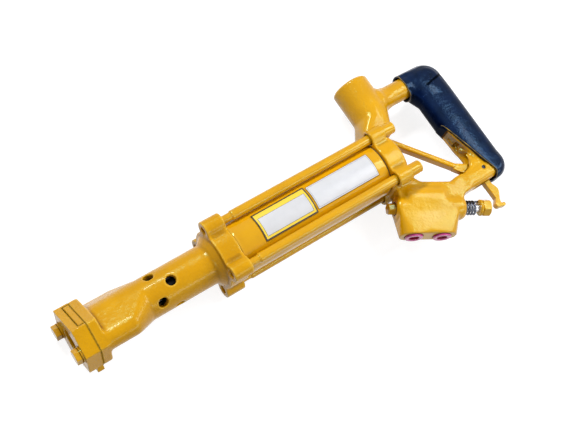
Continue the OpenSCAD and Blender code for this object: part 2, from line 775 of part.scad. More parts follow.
module handle_casting() color(yellow) difference() {
    union() {
        along_x(head_x) linear_extrude(head_lobe_t) lobed_outline(head_r);
        turned([
            [head_x, 0], [head_x, head_r], [head_rear - 2.5, head_r], [head_rear, head_r - 2.5],
            [head_rear, 0]
        ]);
        rod(head_spigot_x, head_x + 1, bore_r - running);
        hull() {
            upright(boss_x, chamber_floor - 2) cylinder(r = boss_r - 0.2, h = 2, $fn = hull_fn);
            translate([head_x + 2, rod_offset - 6, -neck_half])
                cube([boss_x - head_x - 2, 12, 2 * neck_half]);
        }
        upright(boss_x, chamber_floor - 2) rotate_extrude() polygon([
            [0, 0], [boss_r, 0], [boss_r, chamber_depth - 0.5], [boss_r - 2.5, chamber_depth + 2],
            [0, chamber_depth + 2]
        ]);
        translate([0, upper_leg_y, 0]) turned([
            [boss_x, 0], [boss_x, upper_leg_r + 6], [boss_x + boss_r - 4, upper_leg_r + 6],
            [boss_x + boss_r + 3, upper_leg_r + 2], [boss_x + boss_r + 12, upper_leg_r],
            [grip_x - 4, upper_leg_r], [grip_x - 4, 0]
        ]);
        linear_extrude(core_thickness, center = true) core_outline();
        linear_extrude(2 * web_half, center = true) web_outline();
        intersection() {
            translate([0, lower_leg_y, 0]) along_x(block_x + 20) linear_extrude(leg_end - block_x - 20)
                rounded_square(lower_leg_depth, lower_leg_thickness, 8);
            linear_extrude(2 * lower_leg_thickness, center = true) {
                translate([block_x, leg_bottom])
                    square([leg_end - block_x - lower_leg_depth / 2, lower_leg_depth]);
                translate([leg_end - lower_leg_depth / 2, lower_leg_y]) circle(lower_leg_depth / 2);
            }
        }
        block_frame() {
            valve_block();
            translate([pad_x - pad_len, pad_y, 0]) linear_extrude(pad_height)
                translate([pad_len / 2, pad_width / 2]) rounded_square(pad_len, pad_width, 3);
            turned([
                [-barrel_front, 0], [-barrel_front, barrel_r - 4], [-barrel_front + 1.2, barrel_r - 1.6],
                [-barrel_front + 4, barrel_r], [barrel_rear - 9, barrel_r],
                [barrel_rear - 5, barrel_r - (barrel_r - barrel_end_r) * 0.3],
                [barrel_rear - 1.5, barrel_end_r + 1], [barrel_rear, barrel_end_r - 0.4], [barrel_rear, 0]
            ]);
        }
    }
    each_rod() {
        rod(head_x - 1, rod_head_x + 1, rod_hole_r);
        rod(rod_head_x, rod_head_end + 20, rod_head_r + 2 * passing);
    }
    block_frame() {
        rod(-barrel_front - 1, barrel_rear, spool_r + running);
        rod(gland_front, barrel_rear + 1, gland_r + running);
        for (port = [0, -port_spacing]) translate([port, -port_face, 0]) rotate([-90, 0, 0]) {
            translate([0, 0, -1]) cylinder(r = port_mouth_r, h = port_mouth_depth + 1);
            translate([0, 0, port_mouth_depth - 1])
                cylinder(r = port_r, h = port_depth - port_mouth_depth + 1);
            cylinder(r = gallery_r, h = port_face);
        }
    }
    rod(head_spigot_x - 1, head_x + feed_offset, rear_rod_r);
    upright(head_x + feed_offset, feed_y) cylinder(r = gallery_r, h = -feed_y);
    translate([head_x + gallery_offset, 0, 0]) rotate([0, 0, -16]) upright(0, 0)
        cylinder(r = gallery_r, h = chamber_floor + 4);
    upright(boss_x, chamber_floor) cylinder(r = chamber_r, h = chamber_depth + 1);
    linear_extrude(blade_t + 2 * slot_gap, center = true) trigger_slot_outline();
    handle_pocket();
    translate([pivot[0], pivot[1], 0]) cylinder(r = pin_r, h = 2 * lower_leg_thickness, center = true);
}

// The block with the two ports: round at its ends, it swells from the ports' face to the barrel.
module valve_block() hull() {
    translate([0, -port_face, 0]) rotate([-90, 0, 0])
        for (end = [block_end - block_half, -block_front + block_half]) translate([end, 0, 0])
            cylinder(r = block_half, h = port_mouth_depth, $fn = hull_fn);
    along_x(-barrel_front + 1.6) cylinder(r = barrel_r - 0.8, h = block_front + block_end + 5, $fn = hull_fn);
}

module accumulator_bladder() color(seal_black) upright(boss_x, 0) rotate_extrude() polygon([
    [0, bladder_y], [chamber_r - 6, bladder_y], [chamber_r - 2, bladder_y + 4],
    [chamber_r - 2, cap_y - 3], [chamber_r, cap_y - 3], [chamber_r, cap_y],
    [chamber_r - 2 - bladder_wall, cap_y], [chamber_r - 2 - bladder_wall, bladder_y + 5],
    [chamber_r - 6 - bladder_wall, bladder_y + bladder_wall], [0, bladder_y + bladder_wall]
]);

module accumulator_cap() color(yellow) upright(boss_x, cap_y) rotate_extrude() polygon([
    [charge_r, 0], [chamber_r, 0], [chamber_r, 2], [chamber_r - cap_seal_d, 2],
    [chamber_r - cap_seal_d, 2 + cap_seal_d], [chamber_r, 2 + cap_seal_d], [chamber_r, cap_t],
    [charge_r, cap_t]
]);

module cap_seal() color(seal_black) upright(boss_x, cap_y + 2 + cap_seal_d / 2)
    rotate_extrude() translate([chamber_r - cap_seal_d / 2, 0]) circle(cap_seal_d / 2);

module charge_valve() color(steel) upright(boss_x, cap_y - 4) {
    cylinder(r = charge_r, h = cap_t + 4);
    translate([0, 0, cap_t + 4]) cylinder(r = charge_r + 1, h = cap_recess - 1.5, $fn = 6);
}

// A slice of the grip across its length, at height y.
module grip_slice(y) {
    translate([grip_x, y, 0]) rotate([-90, 0, 0]) linear_extrude(1, center = true)
        rounded_square(grip_depth, grip_thickness, grip_thickness / 2 - 3, $fn = hull_fn);
}

// A round pad across the handle that turns one of the grip's corners, with edges as soft as edge says.
module grip_corner(x, y, r, edge = 8) {
    translate([x, y, 0]) {
        cylinder(r = r, h = grip_thickness - 2 * edge, center = true, $fn = hull_fn);
        cylinder(r = r - 0.375 * edge, h = grip_thickness - 0.75 * edge, center = true, $fn = hull_fn);
        cylinder(r = r - edge, h = grip_thickness, center = true, $fn = hull_fn);
    }
}

// What is cut away from the grip low down, where the casting shows, in the handle's plane.
module grip_cutaway_outline() {
    polygon([
        [grip_front - 20, 4.5], [grip_front + 1, 4.5], [grip_front + 6, -10], [grip_front + 12.6, -33],
        [grip_front + 19.5, -57.5], [grip_front + 25, -75], [grip_front + 26.5, -82],
        [grip_front + 24, -87.5], [grip_front + 21, -92], [grip_front - 20, -95]
    ]);
}

module handle_grip() color(navy) difference() {
    union() {
        translate([0, upper_leg_y, 0]) rod(grip_mouth, grip_front + 6, grip_collar_r);
        hull() {
            translate([0, upper_leg_y, 0]) along_x(grip_mouth + 4)
                cylinder(r = grip_collar_r - 0.2, h = 10, $fn = hull_fn);
            grip_corner(grip_x, grip_top_y - grip_depth / 2, grip_depth / 2, 11);
            grip_slice(44);
        }
        hull() {
            grip_slice(44);
            grip_slice(-60);
        }
        hull() {
            grip_slice(-60);
            grip_corner(grip_rear - 21, grip_bottom_y + 21, 21);
        }
    }
    translate([0, upper_leg_y, 0]) {
        rod(grip_mouth - 1, grip_mouth + 10, grip_collar_r - 2.4);
        rod(grip_mouth, grip_x - 4, upper_leg_r);
    }
    linear_extrude(core_thickness, center = true) core_outline();
    translate([0, lower_leg_y, 0]) along_x(grip_front - 20) linear_extrude(leg_end + 1 - grip_front + 20)
        rounded_square(lower_leg_depth + 1, lower_leg_thickness + 1, 8);
    linear_extrude(2 * grip_thickness, center = true) grip_cutaway_outline();
}

// The trigger is drawn about its pivot.
module trigger() color(yellow) translate([pivot[0], pivot[1], 0]) difference() {
    union() {
        linear_extrude(blade_t, center = true) {
            circle(pivot_boss_r);
            polygon([
                bar_root + [2.7, 1.6], [-0.4 * bar_root_x, 0.67 * bar_root_y],
                pivot_boss_r * [0.375, 0.9], pivot_boss_r * [-0.75, -0.65],
                [-0.35 * bar_root_x, -pivot_boss_r / 2], [-0.785 * bar_root_x, pivot_boss_r],
                bar_root - [1.8, 4.9]
            ]);
            polygon([
                [0.5 - pivot_boss_r, -2], [-heel_x + 0.9, -0.3 * heel_y], [-heel_x + 1.1, -0.65 * heel_y],
                [-heel_x + 1.2, -0.84 * heel_y], heel + [-heel_r + 0.4, 1.8], heel - [0, heel_r],
                curl_end - [0, curl_end_r], [-4.9, -heel_y - 1.2], [-2.6, -0.9 * heel_y],
                [2.8, -0.73 * heel_y], [3.9, -0.63 * heel_y], [0.6, -0.45 * heel_y], [0.6, -0.3 * heel_y],
                [pivot_boss_r - 0.5, -2]
            ]);
            translate(heel) circle(heel_r);
            translate(curl_end) circle(curl_end_r);
        }
        translate(bar_root) rotate(bar_angle) along_x(-3) linear_extrude(bar_length + 3)
            rounded_square(bar_thickness, bar_width, 2.4);
    }
    cylinder(r = pin_r + running, h = 2 * lower_leg_thickness, center = true);
}

module pivot_pin() color(dark_steel) translate([pivot[0], pivot[1], 0])
    cylinder(r = pin_r, h = lower_leg_thickness - 4, center = true);

module valve_spool() color(steel) block_frame() turned([
    [-spool_front, 0], [-spool_front, spool_r], [-spool_front + 9, spool_r], [-spool_front + 9, stem_r - 0.5],
    [-spool_front + 18, stem_r - 0.5], [-spool_front + 18, spool_r], [-spool_front + 29, spool_r],
    [-spool_front + 29, stem_r - 0.5], [gland_front - 12, stem_r - 0.5], [gland_front - 12, spool_r],
    [gland_front - 2, spool_r], [gland_front - 2, stem_r], [knob_x + knob_len - 4, stem_r],
    [knob_x + knob_len - 4, 0]
]);

module spool_gland() color(steel) block_frame() difference() {
    tube(gland_front, gland_rear, gland_r, stem_r + running);
    tube(gland_front + 5, gland_front + 5 + gland_seal_d, stem_r + gland_seal_d + running, stem_r);
}

module gland_seal() color(seal_black) block_frame()
    ring_seal(gland_front + 5 + gland_seal_d / 2, stem_r + running + gland_seal_d / 2, gland_seal_d);

module spool_knob() color(yellow) block_frame() difference() {
    union() {
        turned([
            [knob_x, 0], [knob_x, knob_r - 1.6], [knob_x + 0.8, knob_r - 0.8],
            [knob_x + 3, knob_r - 0.8], [knob_x + 3, knob_r - 2.4], [knob_x + 5, knob_r - 2.4], [knob_x + 5, 0]
        ]);
        intersection() {
            along_x(knob_x + 4) cylinder(r = knob_r, h = knob_len - 4, $fn = 6);
            turned([
                [knob_x + 4, 0], [knob_x + 4, knob_r - 0.6], [knob_x + 5, knob_r],
                [knob_x + knob_len - 2, knob_r], [knob_x + knob_len, knob_r - 2], [knob_x + knob_len, 0]
            ]);
        }
    }
    rod(knob_x - 1, knob_x + knob_len - 4, stem_r);
}

module spool_end_plug() color(yellow) block_frame() {
    rod(-barrel_front, -barrel_front + end_plug_thread, spool_r + running);
    along_x(-barrel_front - end_plug_len) cylinder(r = end_plug_r * 2 / sqrt(3), h = end_plug_len, $fn = 6);
}

// A shipping plug: a hollow stub in the port with a rim on the port's face, at a place along the spool.
module port_plug(port) {
    block_frame() translate([port, -port_face, 0]) rotate([90, 0, 0]) rotate_extrude() polygon([
        [0, -plug_len], [port_mouth_r - 2 * running, -plug_len], [port_mouth_r - 2 * running, 0],
        [plug_rim_r, 0],
        [plug_rim_r, plug_rim_h - 0.8], [plug_rim_r - 0.8, plug_rim_h], [plug_hollow_r + 0.6, plug_rim_h],
        [plug_hollow_r, plug_rim_h - 0.6], [plug_hollow_r, -plug_len + 2], [0, -plug_len + 2]
    ]);
}

module pressure_plug() color(crimson) port_plug(-port_spacing);

module return_plug() color(crimson) port_plug(0);

// A thin plate bent round the top of the cylinder.
module label_plate(x, len, w) {
    intersection() {
        tube(x, x + len, cylinder_r + glue_t + label_t, cylinder_r + glue_t);
        translate([x, -w / 2, 0]) cube([len, w, cylinder_r + 5]);
    }
}

module front_label_plate() color(label_white)
    label_plate(foot_len + front_label_x, front_label_len, front_label_w);

module rear_label_plate() color(label_white)
    label_plate(rear_label_x, cylinder_end - rear_label_gap - rear_label_x, rear_label_w);

// The spring's wire, unrolled: distance round the curls against distance along them.
spring_path = concat(
    [[0, 0, 90], [0, wire_d, 90]],
    [for (bend = [25:20:65]) spring_bend(bend)],
    [for (step = [0:spring_steps]) [
        bend_round + (spring_round - 2 * bend_round) * step / spring_steps,
        bend_along + (spring_len - 2 * bend_along) * step / spring_steps,
        spring_slope
    ]],
    [for (bend = [65:-20:25]) let (b = spring_bend(bend)) [spring_round - b[0], spring_len - b[1], b[2]]],
    [[spring_round, spring_len - wire_d, 90], [spring_round, spring_len, 90]]
);

function spring_bend(turned_by) = [
    wire_bend * (1 - cos(turned_by)), wire_d + wire_bend * sin(turned_by), 90 - turned_by
];

function spring_centre(p) = let (a = p[0] / curl_r * 180 / PI) [p[1], curl_r * cos(a), curl_r * sin(a)];

function wire_ring(p) = let (
    a = p[0] / curl_r * 180 / PI,
    out = [0, cos(a), sin(a)],
    ahead = [sin(p[2]), -sin(a) * cos(p[2]), cos(a) * cos(p[2])],
    across = cross(ahead, out)
) [for (k = [0:wire_sides - 1]) let (turned_by = k * 360 / wire_sides)
    spring_centre(p) + wire_d / 2 * (cos(turned_by) * out + sin(turned_by) * across)];

module spool_spring() color(dark_steel) block_frame() translate([gland_rear, 0, 0]) polyhedron(
    points = [for (p = spring_path) each wire_ring(p)],
    faces = concat(
        [[for (k = [wire_sides - 1:-1:0]) k]],
        [for (i = [0:len(spring_path) - 2], k = [0:wire_sides - 1]) let (
            a = i * wire_sides + k, b = i * wire_sides + (k + 1) % wire_sides
        ) each [[a, b, b + wire_sides], [a, b + wire_sides, a + wire_sides]]],
        [[for (k = [0:wire_sides - 1]) (len(spring_path) - 1) * wire_sides + k]]
    )
);

// Least gap between two curls of the spring, measured on the points of its path.
spring_gap = min([
    for (i = [0:len(spring_path) - 1], j = [0:len(spring_path) - 1])
        if (abs(spring_path[i][0] - spring_path[j][0]) > PI * curl_r)
            norm(spring_centre(spring_path[i]) - spring_centre(spring_path[j])) - wire_d
]);
echo(least_gap_of_the_spring_in_mm = spring_gap);

foot_casting();
chisel_bushing();
retainer_plate();
latch_bar();
nose_bolts();
nose_washers();
tie_rods();
cylinder_tube();
front_body_seal();
rear_gasket();
piston();
rod_guide();
wiper_seal();
rod_seal();
flow_sleeve();
valve_body();
automatic_valve();
push_pins();
valve_cap();
handle_casting();
accumulator_bladder();
accumulator_cap();
cap_seal();
charge_valve();
handle_grip();
trigger();
pivot_pin();
valve_spool();
spool_gland();
gland_seal();
spool_spring();
spool_knob();
spool_end_plug();
pressure_plug();
return_plug();
front_label_plate();
rear_label_plate();
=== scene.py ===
"""Looks of the hydraulic chipping hammer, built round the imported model, in metres, in its frame."""

import json
import math

import bmesh
import bpy
import numpy as np
from mathutils import Matrix, Vector
from mathutils.bvhtree import BVHTree

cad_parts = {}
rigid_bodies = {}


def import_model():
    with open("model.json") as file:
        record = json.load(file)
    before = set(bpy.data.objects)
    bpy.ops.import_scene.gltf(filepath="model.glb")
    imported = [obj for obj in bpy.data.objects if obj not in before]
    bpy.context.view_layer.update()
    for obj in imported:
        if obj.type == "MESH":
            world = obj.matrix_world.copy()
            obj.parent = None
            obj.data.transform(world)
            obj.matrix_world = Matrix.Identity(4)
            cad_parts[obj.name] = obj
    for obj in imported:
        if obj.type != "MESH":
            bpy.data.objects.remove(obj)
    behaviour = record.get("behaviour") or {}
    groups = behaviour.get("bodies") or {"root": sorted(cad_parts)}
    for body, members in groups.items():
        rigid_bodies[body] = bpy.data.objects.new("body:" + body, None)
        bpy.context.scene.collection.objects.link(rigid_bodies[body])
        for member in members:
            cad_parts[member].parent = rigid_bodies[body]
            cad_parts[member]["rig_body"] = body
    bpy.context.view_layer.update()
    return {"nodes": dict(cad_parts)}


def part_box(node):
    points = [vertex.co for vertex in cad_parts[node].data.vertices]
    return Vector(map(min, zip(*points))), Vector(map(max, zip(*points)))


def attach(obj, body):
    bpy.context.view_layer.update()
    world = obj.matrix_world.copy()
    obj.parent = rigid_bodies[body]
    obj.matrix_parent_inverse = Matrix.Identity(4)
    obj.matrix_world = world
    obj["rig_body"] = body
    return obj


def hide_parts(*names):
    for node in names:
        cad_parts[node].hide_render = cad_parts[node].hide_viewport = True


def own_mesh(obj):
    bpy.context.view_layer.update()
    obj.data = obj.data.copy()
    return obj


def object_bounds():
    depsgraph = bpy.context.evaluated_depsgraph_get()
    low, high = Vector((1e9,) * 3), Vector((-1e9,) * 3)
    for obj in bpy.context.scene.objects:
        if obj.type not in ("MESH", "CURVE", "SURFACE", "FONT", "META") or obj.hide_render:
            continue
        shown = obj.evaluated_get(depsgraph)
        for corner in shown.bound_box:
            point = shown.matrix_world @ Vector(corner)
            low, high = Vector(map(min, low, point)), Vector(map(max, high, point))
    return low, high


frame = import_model()
nodes = frame["nodes"]
scene = bpy.context.scene
scene.view_settings.view_transform = "Standard"

MM = 0.001

# Places in the frame. Ports and their face are places in the valve block, as block_point takes them.

BLOCK = Vector((0.451, -0.0832, 0.0))
TILT = math.radians(28.5)
ALONG = Vector((math.cos(TILT), -math.sin(TILT), 0.0))
AWAY = Vector((math.sin(TILT), math.cos(TILT), 0.0))
PORTS = {"pressure_plug": -37, "return_plug": 0}
PORT_FACE = -37
GRIP_MIDDLE_X = 547
GRIP_HALF_WIDTH = 27
GRIP_HALF_HEIGHT = 16
NECK_Y = 0.0752


def block_point(u, v, w=0.0):
    """A point given along the spool, away from the ports and up, in millimetres, as a place in the frame."""
    return BLOCK + (ALONG * u + AWAY * v + Vector((0, 0, w))) * MM


# Materials


class Tree:
    """A small helper that adds nodes to a material and links them."""

    def __init__(self, name):
        self.material = bpy.data.materials.new(name)
        self.material.use_nodes = True
        self.nodes = self.material.node_tree.nodes
        self.links = self.material.node_tree.links
        self.shader = self.nodes["Principled BSDF"]

    def add(self, kind, **values):
        node = self.nodes.new(kind)
        for key, value in values.items():
            setattr(node, key, value)
        return node

    def join(self, source, target):
        self.links.new(source, target)

    def coords(self):
        return self.add("ShaderNodeTexCoord").outputs["Object"]

    def noise(self, scale, detail=3.0, roughness=0.5, at=None):
        node = self.add("ShaderNodeTexNoise")
        node.inputs["Scale"].default_value = scale
        node.inputs["Detail"].default_value = detail
        node.inputs["Roughness"].default_value = roughness
        self.join(at or self.coords(), node.inputs["Vector"])
        return node.outputs["Fac"]

    def band(self, value, low, high, to_low=0.0, to_high=1.0):
        node = self.add("ShaderNodeMapRange", clamp=True)
        node.inputs["From Min"].default_value = low
        node.inputs["From Max"].default_value = high
        node.inputs["To Min"].default_value = to_low
        node.inputs["To Max"].default_value = to_high
        self.join(value, node.inputs["Value"])
        return node.outputs["Result"]

    def mix(self, amount, first, second):
        node = self.add("ShaderNodeMix", data_type="RGBA")
        for socket, value in ((6, first), (7, second)):
            if isinstance(value, tuple):
                node.inputs[socket].default_value = (*value, 1)
            else:
                self.join(value, node.inputs[socket])
        if isinstance(amount, float):
            node.inputs[0].default_value = amount
        else:
            self.join(amount, node.inputs[0])
        return node.outputs[2]

    def maths(self, operation, first, second=0.0):
        node = self.add("ShaderNodeMath", operation=operation)
        for socket, value in ((0, first), (1, second)):
            if isinstance(value, (int, float)):
                node.inputs[socket].default_value = value
            else:
                self.join(value, node.inputs[socket])
        return node.outputs[0]

    def bump(self, height, strength, distance, after=None):
        node = self.add("ShaderNodeBump")
        node.inputs["Strength"].default_value = strength
        node.inputs["Distance"].default_value = distance
        self.join(height, node.inputs["Height"])
        if after:
            self.join(after, node.inputs["Normal"])
        return node.outputs["Normal"]


def enamel(name, casting, low, high, gloss=0.40):
    """Yellow orange enamel with its roughness between low and high. Over a casting it is uneven. Its colour
    is darker with soiling and painted shade in hollows and seams, paler with wear and a painted highlight on
    sharp edges, and near black with painted shade in bare bores.
    """
    t = Tree(name)
    patches = t.band(t.noise(18, 4), 0.35, 0.68)
    colour = t.mix(patches, (0.682, 0.336, 0.0018), (0.590, 0.280, 0.0016))
    hollow = t.add("ShaderNodeAttribute", attribute_name="hollow").outputs["Fac"]
    seam = t.add("ShaderNodeAttribute", attribute_name="seam").outputs["Fac"]
    inside = t.add("ShaderNodeAttribute", attribute_name="inside").outputs["Fac"]
    speckle = t.band(t.noise(420, 3, 0.6), 0.3, 0.62, 0.6, 1.0)
    # Dark brown in hollows and the grip's pocket: soiling and painted shade.
    hollow_soil_and_shade = t.maths("MULTIPLY", t.band(hollow, 0.04, 0.55), speckle)
    colour = t.mix(hollow_soil_and_shade, colour, (0.20, 0.078, 0.002))
    # Near black where other pieces meet this one: soiling and painted shade in the seams.
    seam_soil_and_shade = t.maths("MULTIPLY", t.band(seam, 0.10, 0.85, 0.0, 0.96), speckle)
    colour = t.mix(seam_soil_and_shade, colour, (0.030, 0.012, 0.001))
    # Paler on sharp edges: wear and a painted highlight.
    edge = t.band(hollow, -0.9, -0.25, 1.0, 0.0)
    colour = t.mix(t.maths("MULTIPLY", edge, 0.45), colour, (0.82, 0.52, 0.06))
    # Near black in the bare bores: painted shade over the unpainted metal.
    colour = t.mix(t.band(inside, 0.3, 0.7), colour, (0.016, 0.011, 0.006))
    t.join(colour, t.shader.inputs["Base Color"])
    rough = t.band(t.noise(60, 3), 0.3, 0.7, low, high)
    dull = t.maths("MAXIMUM", inside, t.band(seam, 0.1, 0.7))
    t.join(t.maths("ADD", rough, t.maths("MULTIPLY", dull, 0.35)), t.shader.inputs["Roughness"])
    t.join(t.band(dull, 0.0, 1.0, 0.12 if casting else 0.17, 0.0), t.shader.inputs["Coat Weight"])
    t.join(t.band(dull, 0.0, 1.0, gloss, 0.05), t.shader.inputs["Specular IOR Level"])
    t.shader.inputs["Specular Tint"].default_value = (0.34, 0.95, 0.45, 1)
    t.shader.inputs["Coat Roughness"].default_value = 0.06
    t.shader.inputs["IOR"].default_value = 1.5
    peel = t.bump(t.noise(700, 2), 0.10, 0.0002)
    if casting:
        sand = t.bump(t.noise(300, 3, 0.6), 0.42, 0.0009, peel)
        waves = t.bump(t.noise(70, 2), 0.35, 0.0018, sand)
        t.join(waves, t.shader.inputs["Normal"])
    else:
        t.join(peel, t.shader.inputs["Normal"])
    return t.material


def metal(name, colour, rough, grain):
    """Ground steel with fine grain and slight stains."""
    t = Tree(name)
    darkening = t.band(t.noise(90, 4), 0.4, 0.75)
    dark = tuple(c * 0.62 for c in colour)
    t.join(t.mix(darkening, colour, dark), t.shader.inputs["Base Color"])
    t.shader.inputs["Metallic"].default_value = 1.0
    t.join(t.band(t.noise(300, 3), 0.3, 0.7, rough * 0.8, rough * 1.3), t.shader.inputs["Roughness"])
    t.join(t.bump(t.noise(grain, 2), 0.15, 0.0002), t.shader.inputs["Normal"])
    return t.material


def rubber(name):
    """Dull black rubber."""
    t = Tree(name)
    t.join(t.mix(t.band(t.noise(120, 3), 0.3, 0.7), (0.02, 0.02, 0.02), (0.045, 0.043, 0.04)),
           t.shader.inputs["Base Color"])
    t.join(t.band(t.noise(200, 3), 0.3, 0.7, 0.55, 0.75), t.shader.inputs["Roughness"])
    t.join(t.bump(t.noise(700, 2), 0.2, 0.0002), t.shader.inputs["Normal"])
    return t.material


def dipped(name):
    """Navy dipped vinyl: a wide painted sheen in patches, painted shade in hollows and along the crease,
    small scuffs and pale spots, dull where fingers rub it.
    """
    t = Tree(name)
    # Patches of lighter navy: a painted sheen.
    painted_sheen_patches = t.band(t.noise(28, 4, 0.6), 0.38, 0.66)
    colour = t.mix(painted_sheen_patches, (0.0004, 0.0020, 0.013), (0.0024, 0.0085, 0.041))
    hollow = t.add("ShaderNodeAttribute", attribute_name="hollow").outputs["Fac"]
    # Near black in hollows and along the crease: painted shade.
    colour = t.mix(t.band(hollow, 0.03, 0.35), colour, (0.0004, 0.001, 0.004))
    scuff = t.band(t.noise(330, 6, 0.72), 0.60, 0.72)
    spots = t.maths("MULTIPLY", scuff, t.band(t.noise(24, 2), 0.5, 0.62))
    colour = t.mix(t.maths("MULTIPLY", spots, 0.55), colour, (0.07, 0.15, 0.36))
    t.join(colour, t.shader.inputs["Base Color"])
    t.join(t.band(t.noise(85, 4), 0.3, 0.7, 0.11, 0.22), t.shader.inputs["Roughness"])
    rubbed = t.add("ShaderNodeAttribute", attribute_name="rubbed").outputs["Fac"]
    t.join(t.band(rubbed, 0.0, 1.0, 0.26, 0.03), t.shader.inputs["Specular IOR Level"])
    t.join(t.band(rubbed, 0.0, 1.0, 0.06, 0.0), t.shader.inputs["Coat Weight"])
    t.shader.inputs["Coat Roughness"].default_value = 0.10
    t.shader.inputs["Specular Tint"].default_value = (0.24, 0.56, 1.0, 1)
    ripple = t.bump(t.noise(95, 4, 0.6), 0.34, 0.0018)
    t.join(t.bump(t.noise(420, 4, 0.6), 0.18, 0.0006, ripple), t.shader.inputs["Normal"])
    return t.material


def rim_paint(name):
    """The olive line that the dip leaves along the grip's edges, yellow where it is thin."""
    t = Tree(name)
    thin = t.band(t.noise(75, 3), 0.48, 0.66)
    t.join(t.mix(thin, (0.085, 0.058, 0.005), (0.34, 0.22, 0.012)), t.shader.inputs["Base Color"])
    t.join(t.band(t.noise(200, 3), 0.3, 0.7, 0.3, 0.45), t.shader.inputs["Roughness"])
    t.join(t.bump(t.noise(500, 2), 0.15, 0.0003), t.shader.inputs["Normal"])
    return t.material


def glossy_plastic(name, dark, light, glow):
    """Moulded plastic with a clear sheen that lets a little light in."""
    t = Tree(name)
    t.join(t.mix(t.band(t.noise(160, 3), 0.3, 0.7), dark, light), t.shader.inputs["Base Color"])
    t.join(t.band(t.noise(240, 2), 0.3, 0.7, 0.16, 0.28), t.shader.inputs["Roughness"])
    t.shader.inputs["Coat Weight"].default_value = 0.6
    t.shader.inputs["Coat Roughness"].default_value = 0.06
    t.shader.inputs["Subsurface Weight"].default_value = glow
    t.shader.inputs["Subsurface Radius"].default_value = (0.004, 0.001, 0.001)
    t.join(t.bump(t.noise(500, 2), 0.1, 0.0002), t.shader.inputs["Normal"])
    return t.material


def framed_label(name, middle, half, bands, inner, head=0.0):
    """A blank label. bands are (width in mm, colour) from the rim inwards, and inner is the field's colour.
    Along the label's upper side the last band but one is wider by head."""
    t = Tree(name)
    split = t.add("ShaderNodeSeparateXYZ")
    t.join(t.coords(), split.inputs[0])
    x = t.maths("ABSOLUTE", t.maths("SUBTRACT", split.outputs["X"], middle))
    y = t.maths("ABSOLUTE", split.outputs["Y"])
    from_end = t.maths("SUBTRACT", half[0], x)
    inset = t.maths("MINIMUM", from_end, t.maths("SUBTRACT", half[1], y))
    from_top = t.maths("SUBTRACT", half[1] - head * MM, split.outputs["Y"])
    headed = t.maths("MINIMUM", inset, from_top)
    tone = t.band(t.noise(70, 4), 0.3, 0.72)
    colour = t.mix(tone, inner, tuple(c * 0.93 for c in inner))
    depth = sum(width for width, _ in bands)
    for k, (width, band_colour) in reversed(list(enumerate(bands))):
        inside = t.maths("GREATER_THAN", headed if k >= len(bands) - 2 else inset, depth * MM)
        colour = t.mix(inside, band_colour, colour)
        depth -= width
    t.join(colour, t.shader.inputs["Base Color"])
    t.join(t.band(t.noise(150, 3), 0.3, 0.7, 0.30, 0.42), t.shader.inputs["Roughness"])
    t.shader.inputs["Coat Weight"].default_value = 0.25
    t.shader.inputs["Coat Roughness"].default_value = 0.2
    t.join(t.bump(t.noise(220, 3), 0.12, 0.0004), t.shader.inputs["Normal"])
    return t.material


CAST = enamel("cast_enamel", True, 0.15, 0.25)
SATIN = enamel("satin_enamel", True, 0.20, 0.30, 0.22)
SMOOTH = enamel("smooth_enamel", False, 0.11, 0.19)
STEEL = metal("ground_steel", (0.55, 0.56, 0.58), 0.28, 900)
SPRING = metal("oiled_wire", (0.09, 0.10, 0.13), 0.14, 700)
# Near black steel for the piston and the pivot pin, seen only in holes: painted shade.
STEEL_PAINTED_DARK_AS_SHADE = metal("dark_steel", (0.05, 0.05, 0.055), 0.45, 600)
RUBBER = rubber("seal_rubber")
GRIP = dipped("navy_dip")
RIM = glossy_plastic("plug_rim", (0.53, 0.012, 0.21), (0.66, 0.04, 0.30), 0.12)
# The cup's recess gets a darker, deeper red copy of the plug's plastic: painted shade.
CUP = glossy_plastic("plug_cup", (0.25, 0.002, 0.026), (0.33, 0.003, 0.042), 0.02)
RIM_PAINT = rim_paint("grip_rim_paint")

front_low, front_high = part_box("front_label_plate")
rear_low, rear_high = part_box("rear_label_plate")
FRONT_LABEL = framed_label(
    "front_label",
    (front_low.x + front_high.x) / 2,
    ((front_high.x - front_low.x) / 2, (front_high.y - front_low.y) / 2),
    [(1.3, (0.015, 0.014, 0.014)), (2.4, (0.80, 0.58, 0.03)), (0.5, (0.07, 0.065, 0.06))],
    (0.60, 0.605, 0.63),
    3.6,
)
REAR_LABEL = framed_label(
    "rear_label",
    (rear_low.x + rear_high.x) / 2,
    ((rear_high.x - rear_low.x) / 2, (rear_high.y - rear_low.y) / 2),
    [(1.0, (0.62, 0.63, 0.66)), (0.5, (0.30, 0.32, 0.36))],
    (0.62, 0.63, 0.66),
)

CAD_MATERIALS = {
    SMOOTH: ["nose_washers", "accumulator_cap"],
    STEEL: ["chisel_bushing", "rod_guide", "flow_sleeve", "valve_body", "automatic_valve",
            "push_pins", "valve_cap", "charge_valve", "valve_spool", "spool_gland"],
    # The piston and pivot pin take near black steel as painted shade.
    STEEL_PAINTED_DARK_AS_SHADE: ["piston", "pivot_pin"],
    RUBBER: ["front_body_seal", "rear_gasket", "wiper_seal", "rod_seal", "accumulator_bladder",
             "cap_seal", "gland_seal"],
    FRONT_LABEL: ["front_label_plate"],
    REAR_LABEL: ["rear_label_plate"],
}
for material, names in CAD_MATERIALS.items():
    for name in names:
        nodes[name].data.materials.clear()
        nodes[name].data.materials.append(material)

# Mesh helpers


def applied(piece):
    """The piece with its modifiers made part of its mesh."""
    graph = bpy.context.evaluated_depsgraph_get()
    mesh = bpy.data.meshes.new_from_object(piece.evaluated_get(graph))
    old = piece.data
    piece.modifiers.clear()
    piece.data = mesh
    bpy.data.meshes.remove(old)
    return piece


